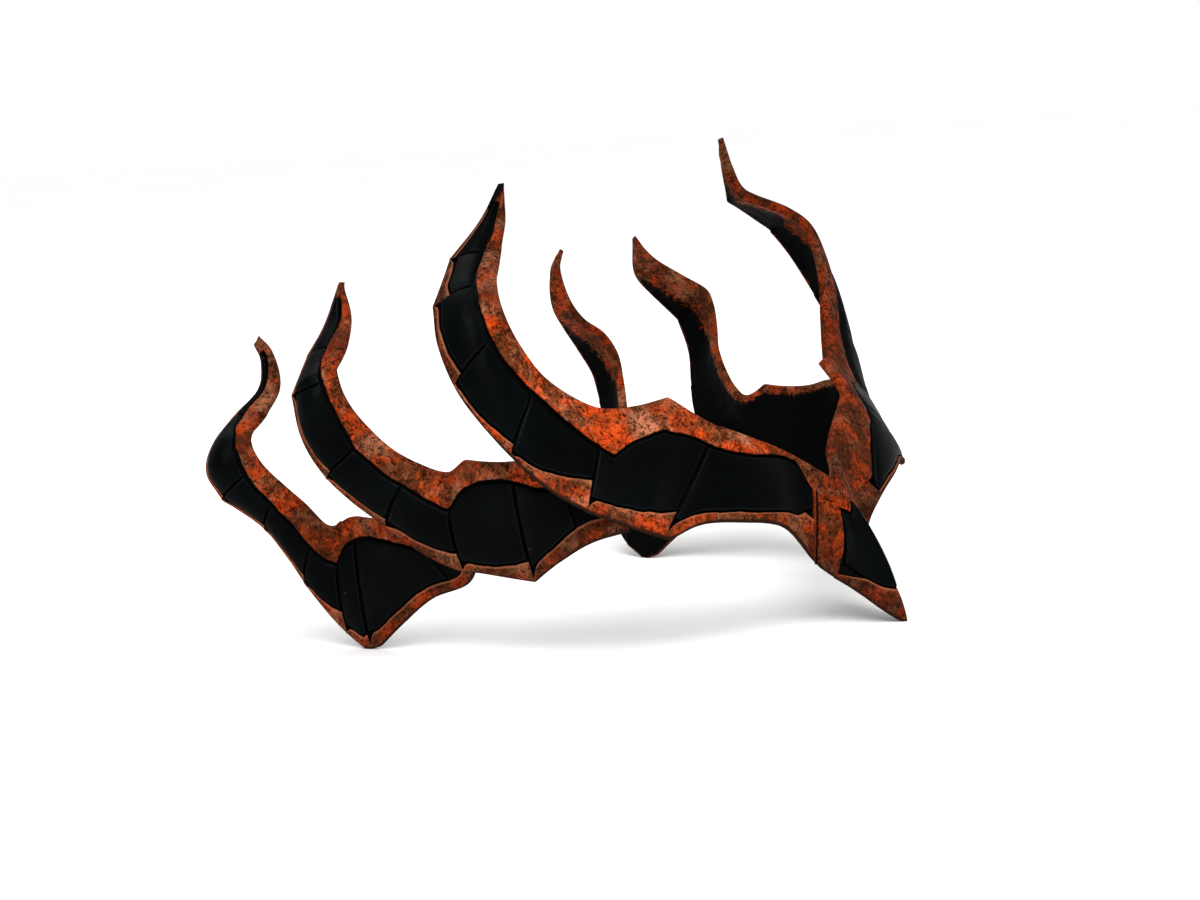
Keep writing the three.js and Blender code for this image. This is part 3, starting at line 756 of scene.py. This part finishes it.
# places of the rows between two scale lines
def stretchPlaces(plate, first, last, scale):
    gap, carved = plateFinish["lineGap"], plate.get("carvedLine")
    perSection = sectionLength(plate, last)
    low = first + (gap / sectionLength(plate, first) if first else 0)
    high = last - (gap / perSection if last < plate["last"] else 0)
    rimSpan = onLine(plate, last, 0) - onLine(plate, first, 0)
    steps = max(4, math.ceil(max(last - first, rimSpan) * plateFinish["rowsPerSection"]))
    places = list(np.linspace(low, high, steps + 1))
    if scale:
        places += [last - one / perSection for one in plateFinish["endSteps"]] + cornerPlaces(scale)
    elif carved and first < carved["at"] < last:
        offs = np.array(plateFinish["carvedSteps"]) * carved["width"]
        places += list(carved["at"] + offs / sectionLength(plate, carved["at"]))
    return [u for u in sorted(set(places)) if u <= high]


# rim border with the slit at a scale's back end
def slitBorder(rim, toEnd):
    slit = max(0, 1 - toEnd / plateFinish["slitReach"]) ** 1.4
    return max(min(rim, plateFinish["slitBorder"]), rim * (1 - plateFinish["slitShare"] * slit))


# one plate's rows: section at the crest, rim border, crest border, sunk or not, black or not
def plateRows(plate, scales):
    rows = []
    ends = sorted({0, plate["last"], *(s["start"] for s in scales), *(s["end"] for s in scales)})
    for first, last in zip(ends, ends[1:]):
        scale = next((s for s in scales if s["start"] <= first and s["end"] >= last), None)
        before = [s for s in scales if s["end"] == first]
        beside = before + [s for s in scales if s["start"] == last]
        tucked = plate is not frontPlate and not before  # this end is dyed black
        perSection = sectionLength(plate, last)
        for u in stretchPlaces(plate, first, last, scale):
            if scale:
                rim, crest = bordersAt(scale, np.array([u]))[0]
                rim = slitBorder(rim, (last - u) * perSection)
                rows.append((u, rim, crest, 1.0, 1.0))
            else:
                near, far = (bordersAt(s, np.array([u]))[0] for s in (beside[0], beside[-1]))
                rim, crest = near + (far - near) * (u - first) / (last - first)
                rows.append((u, rim, crest, 0.0, float(tucked)))
    return np.array(rows)


# cross section at every row, a ring of columns from the rim over the outer face to the crest and back
# along the inner face: place across, depth and four surface masks
columnMasks = ("cutEdge", "sunken", "innerSide", "paleLip")


def plateColumns(rows, width, toTip):
    rimBorder, crestBorder, sunk, black = rows.T[1:]
    small = np.minimum(1, width / plateFinish["fullWidth"]) ** 1.2
    rounding, inner, bevel = (leather[key] * small for key in ("outerRound", "innerRound", "bevel"))
    low = np.minimum(rimBorder, 0.45 * width)
    high = width - np.minimum(crestBorder, 0.8 * width - low)
    taper = 1 - smoothStep(toTip, 0, plateFinish["taperReach"])
    thick = leather["thickness"] * (1 - plateFinish["tipTaper"] * taper)
    skive = np.clip(0.8 + 0.22 * (low - 1.5), *plateFinish["skive"]) * small
    columns = []

    def column(across, depth, **masks):
        values = (across, depth, *(masks.get(key, 0.0) for key in columnMasks))
        columns.append([one + 0 * width for one in values])

    def border(first, last, lip):
        for share in plateFinish["borderShares"]:
            crown = plateFinish["borderCrown"] * 4 * share * (1 - share)
            column(first + (last - first) * share, crown * small, paleLip=lip if share == 1 else 0.0)

    turns = np.linspace(0, math.pi / 2, plateFinish["roundSteps"])
    curve = [(1 - math.cos(turn), 1 - math.sin(turn), turn / turns[-1]) for turn in turns]
    for over, down, share in curve:  # rounded rim edge
        column(rounding * over, -rounding * down, cutEdge=1 - 0.6 * share)
    # the last columns of the rim border carry the pale painted lip highlight
    border(rounding, low - bevel, black)
    column(low - 0.3 * bevel, -0.3 * bevel * sunk, paleLip=black)
    column(low, -bevel * sunk, sunken=black)
    for share in plateFinish["floorShares"]:
        column(low + 0.1 + (high - low - 0.2) * share, -leather["channelDepth"] * sunk, sunken=black)
    column(high, -bevel * sunk, sunken=black)
    # a darker line along the channel's crest side, partly burnished edge and partly painted shade
    column(high + 0.3 * bevel, -0.3 * bevel * sunk, sunken=0.25 * black)
    border(high + bevel, width - rounding, 0.0)
    for over, down, share in curve[::-1]:  # rounded crest edge
        column(width - rounding * over, -rounding * down, cutEdge=0.3)
    outerCount = len(columns)
    for over, down, share in curve:  # inner side of the crest edge
        column(width - inner * over, inner * down - thick, cutEdge=0.3, innerSide=share)
    for share in plateFinish["innerShares"]:
        across = width - inner - (width - 2 * inner) * share
        pared = skive * (1 - smoothStep(across, 0, plateFinish["skiveReach"]))
        column(across, pared - thick, innerSide=1.0)
    for over, down, share in curve[::-1]:  # inner side of the rim edge
        column(inner * over, skive - thick + inner * down, cutEdge=1.0, innerSide=share)
    across, depth, *masks = np.array(columns).transpose(1, 2, 0)
    return across, depth, dict(zip(columnMasks, masks)), outerCount


# how deep each point of the outer face lies in the carved line
def carvedShare(plate, u, v, outerCount):
    line = plate["carvedLine"]
    offLine = (u - line["at"]) * sectionLength(plate, line["at"]) / line["width"]
    carved = np.exp(-offLine**2)[:, None] * (1 - smoothStep(v, line["top"] - 0.06, line["top"]))
    carved[:, outerCount:] = 0
    return carved


# painted shade: the paint darkened along the rim, at the beak, towards the horns and more on the wearer's
# left, with a dark patch at the beak's shoulder
def paintedShadeMask(plate, u, v, along, side):
    table = plate["paintedShade"]
    paintedShade = np.interp(u, table["at"], table["left" if side < 0 else "right"])[:, None]
    paintedShade = paintedShade + plateFinish["rimShade"] * (1 - smoothStep(v, 0.1, 0.4))
    if "darkPatch" in plate:
        darkPatch = plate["darkPatch"]
        away = ((along - darkPatch["at"]) / darkPatch["reach"]) ** 2 + (v / darkPatch["height"]) ** 2
        paintedShade = paintedShade + darkPatch["amount"] * np.exp(-away)
    return np.clip(paintedShade, 0, plateFinish["darkest"])


def plateRings(plate, rows, side):
    u = rows[:, 0]
    width = plateWidth(plate, u)
    toTip = np.array([abs(plate["last"] - one) * sectionLength(plate, one) for one in u])
    across, depth, masks, outerCount = plateColumns(rows, width, toTip)
    v = across / width[:, None]
    if "carvedLine" in plate:
        carved = carvedShare(plate, u, v, outerCount)
        depth = depth - plate["carvedLine"]["depth"] * carved
        masks["sunken"] = np.maximum(masks["sunken"], smoothStep(carved, 0.35, 0.8))
    along = onLine(plate, u[:, None], v)
    points = layerPoint(plate, along.ravel(), v.ravel(), depth.ravel(), side)
    onHorn = 1 - smoothStep(toTip, *plateFinish["tipSprayReach"])
    reach = plateFinish["sprayReach"] + plateFinish["tipSpray"] * onHorn
    crestSpray = 1 - smoothStep((width[:, None] - across) / reach[:, None], 0.2, 1)
    rimSpray = 0.9 - smoothStep(across, 0, plateFinish["rimSpray"])
    masks["sprayed"] = np.maximum(crestSpray, rimSpray)
    masks["paintedShade"] = paintedShadeMask(plate, u, v, along, side)
    masks["hornTip"] = 0 * v
    if plate["tipLength"]:
        slanted = toTip[:, None] + plateFinish["tipSlant"] * (v - 0.4)
        tip = 1 - smoothStep(slanted, 0.15 * plate["tipLength"], plate["tipLength"])
        masks["hornTip"] = tip * (1 if side > 0 else plateFinish["leftTip"])
    return points.reshape(*v.shape, 3), masks


def makePlate(name, nodeName, plate, sides, insets=()):
    def sideRings(side):
        return plateRings(plate, plateRows(plate, [*insets, *scalesOn(plate, side)]), side)

    piece = ringMesh(name, *joinSides(sideRings, sides), copperLeather)
    finishPiece(piece, nodeName)
    print(name, len(piece.data.polygons), "faces")


# a scale: rounded bevel all round, and on the horns a facet along the crest side
scaleFinish = {
    "rowLength": 1.1,
    "edgeSteps": (0, 0.08, 0.22, 0.42, 0.7, 1.1),
    "columns": 9,
    "ridgeSteps": (-0.015, 0, 0.015),  # columns across the facet's ridge
    "narrowest": 0.4,
    "bevelWidth": 0.8,
    "bevelDrop": 0.6,
    "dome": 0.5,
    "domeReach": 4.0,
    "facetWidth": 3.2,
    "facetShare": 0.42,  # at most this much of the width
    "facetDrop": 0.85,
    "thinnest": 0.15,
}


# places along a length, close together at one end or both
def edgeSpaced(length, count, both=True):
    steps = np.array(scaleFinish["edgeSteps"]) * min(1, length / 6)
    middle = np.linspace(steps[-1], length - steps[-1] if both else length, count + 2)[1:-1]
    tail = length - steps[::-1] if both else [length]
    return np.concatenate([steps, middle, tail])


# a scale's rows, and how far each lies from the nearest end; the beak's inset runs on over the fold
def scaleRows(plate, scale, faceted):
    start, end = scale["start"], scale["end"]
    overFold = start == 0
    gap = leather["endGroove" if faceted else "groove"]
    low = start + (0 if overFold else gap / sectionLength(plate, start))
    spread = 1 + max(0, leanAt(plate, end) - 1)
    high = end - gap / sectionLength(plate, end) / spread
    near = (start + 0.1, (start + end) / 2, end - 0.1)
    perSection = np.mean([sectionLength(plate, one) for one in near])
    length = max(high - low, onLine(plate, high, 0) - onLine(plate, low, 0)) * perSection
    rowCount = max(6, round(length / scaleFinish["rowLength"]))
    fromStart = edgeSpaced(length, rowCount)
    if overFold:
        fromStart = length - edgeSpaced(length, rowCount, both=False)[::-1]
    corners = [(one - low) / (high - low) * length for one in cornerPlaces(scale)]
    fromStart = np.sort(np.concatenate([fromStart, corners]))
    toEnd = length - fromStart
    return low + fromStart / length * (high - low), toEnd if overFold else np.minimum(fromStart, toEnd)


def scaleRings(plate, scale, side, faceted):
    u, endAway = scaleRows(plate, scale, faceted)
    endAway = endAway[:, None]
    width = plateWidth(plate, u)[:, None]
    rimBorder, crestBorder = np.hsplit(bordersAt(scale, u), 2)
    left = rimBorder + leather["groove"]
    span = np.maximum(width - crestBorder - leather["crestGroove"] - left, scaleFinish["narrowest"])
    ridgeAt = 1 - np.minimum(scaleFinish["facetWidth"] / span, scaleFinish["facetShare"])
    spaced = np.array([edgeSpaced(one, scaleFinish["columns"]) / one for one in span[:, 0]])
    shares = np.sort(np.concatenate([spaced, ridgeAt + np.array(scaleFinish["ridgeSteps"])], 1), 1)
    across = left + shares * span
    bevelWidth = scaleFinish["bevelWidth"] * np.minimum(1, span / 5)
    away = np.minimum(np.minimum(shares, 1 - shares) * span, endAway) / bevelWidth
    rounded = 1 - (1 - np.clip(away, 0, 1)) ** 2
    swell = np.sqrt(np.clip(4 * shares * (1 - shares), 0, 1))
    swell = swell * (0.4 + 0.6 * smoothStep(endAway, 0, scaleFinish["domeReach"]))
    facet = faceted * np.clip((shares - ridgeAt) / (1 - ridgeAt), 0, 1) * np.minimum(1, span / 8)
    height = (scaleFinish["dome"] * swell - scaleFinish["bevelDrop"] * (1 - rounded)
              - scaleFinish["facetDrop"] * facet)
    base = leather["seat"] - leather["channelDepth"]
    height = np.maximum(height, base + scaleFinish["thinnest"])
    under = np.concatenate([across[:, -1:], across[:, ::-4][:, 1:], across[:, :1]], 1)  # flat underside
    # the band along each bevel where the grey painted highlight lies
    bevelEdge = np.exp(-((away - 0.6) / 0.3) ** 2)
    bevelEdge = np.concatenate([bevelEdge, np.zeros(under.shape)], 1)
    depth = np.concatenate([height, np.full(under.shape, base)], 1)
    v = np.concatenate([across, under], 1) / width
    along = onLine(plate, u[:, None], v)
    points = layerPoint(plate, along.ravel(), v.ravel(), depth.ravel(), side)
    return points.reshape(*v.shape, 3), {"bevelEdge": bevelEdge}


def makeScale(name, nodeName, plate, scale, sides, faceted):
    def sideRings(side):
        return scaleRings(plate, scale, side, faceted)

    piece = ringMesh(name, *joinSides(sideRings, sides), blackLeather)
    finishPiece(piece, nodeName)


for plate in (frontPlate, midPlate, rearPlate):
    readyPlate(plate)
readyScale(beakInset)

makePlate("frontPlateLeather", "front_plate", frontPlate, (-1, 1), [beakInset])
makeScale("beakInsetLeather", "beak_inset", frontPlate, beakInset, (-1, 1), faceted=False)
for sideName, side in (("right", 1), ("left", -1)):
    for plateName, plate in (("front", frontPlate), ("mid", midPlate), ("rear", rearPlate)):
        if plate is not frontPlate:
            pieceName = f"{plateName}Plate{sideName.title()}Leather"
            makePlate(pieceName, f"{plateName}_plate_{sideName}", plate, (side,))
        for number, scale in enumerate(scalesOn(plate, side), 1):
            pieceName = f"{plateName}Scale{sideName.title()}{number}"
            nodeName = f"{plateName}_scale_{sideName}_{number}"
            onHorn = number > 2  # the first two lie flat on the band
            makeScale(pieceName, nodeName, plate, scale, (side,), faceted=onHorn)
    print(sideName, "side dressed")


# pale floor and soft studio light
studio = {
    "floorSize": 12.0,
    "floorColour": (0.955, 0.955, 0.95, 1),
    "floorShade": (0.94, 0.94, 0.935, 1),
    "shadeScale": 6.0,
    "worldLight": 0.4,
    "sunFrom": (-0.85, -0.65, 1.5),
    "sunAngle": math.radians(50),
    "sunStrength": 2.6,
    "aim": (0, 0, 0.06),
    "lights": [
        {"name": "keyLight", "place": (-1.0, -1.1, 1.1), "size": 1.0, "power": 13},
        {"name": "topLight", "place": (0.5, 0.7, 1.6), "size": 1.2, "power": 10},
    ],
}


def makeFloor(setup):
    half = setup["floorSize"] / 2
    corners = [(-half, -half, 0), (half, -half, 0), (half, half, 0), (-half, half, 0)]
    mesh = bpy.data.meshes.new("paleFloor")
    mesh.from_pydata(corners, [], [(0, 1, 2, 3)])
    floor = bpy.data.objects.new("paleFloor", mesh)
    scene.collection.objects.link(floor)
    material, tree, shader, coords = newMaterial("palePaper")
    tone = remap(tree, noiseTexture(tree, coords, setup["shadeScale"], detail=3.0), 0.3, 0.7)
    shade = mixColour(tree, tone, setup["floorColour"], setup["floorShade"])
    feedAll(tree, shader, {"Base Color": shade, "Roughness": 0.9, "Specular IOR Level": 0.1})
    mesh.materials.append(material)


# the world is white to the camera and dimmer as a light
def makeWorld(setup):
    world = bpy.data.worlds.new("studioWorld")
    world.use_nodes = True
    scene.world = world
    tree = world.node_tree
    seen = addNode(tree, "ShaderNodeLightPath").outputs["Is Camera Ray"]
    strength = remap(tree, seen, 0.0, 1.0, setup["worldLight"], 1.0)
    feedAll(tree, tree.nodes["Background"], {"Color": (1, 1, 1, 1), "Strength": strength})


def hangLight(name, kind, place, aim):
    light = bpy.data.lights.new(name, kind)
    holder = bpy.data.objects.new(name, light)
    scene.collection.objects.link(holder)
    holder.location = place
    holder.rotation_euler = (Vector(aim) - Vector(place)).to_track_quat("-Z", "Y").to_euler()
    return light


def makeLights(setup):
    sun = hangLight("softSun", "SUN", setup["sunFrom"], (0, 0, 0))
    sun.angle = setup["sunAngle"]
    sun.energy = setup["sunStrength"]
    for row in setup["lights"]:
        lamp = hangLight(row["name"], "AREA", row["place"], setup["aim"])
        lamp.size = row["size"]
        lamp.energy = row["power"]


makeFloor(studio)
makeWorld(studio)
makeLights(studio)
scene.view_settings.view_transform = "Standard"
scene.view_settings.look = "None"
print("studio lit")
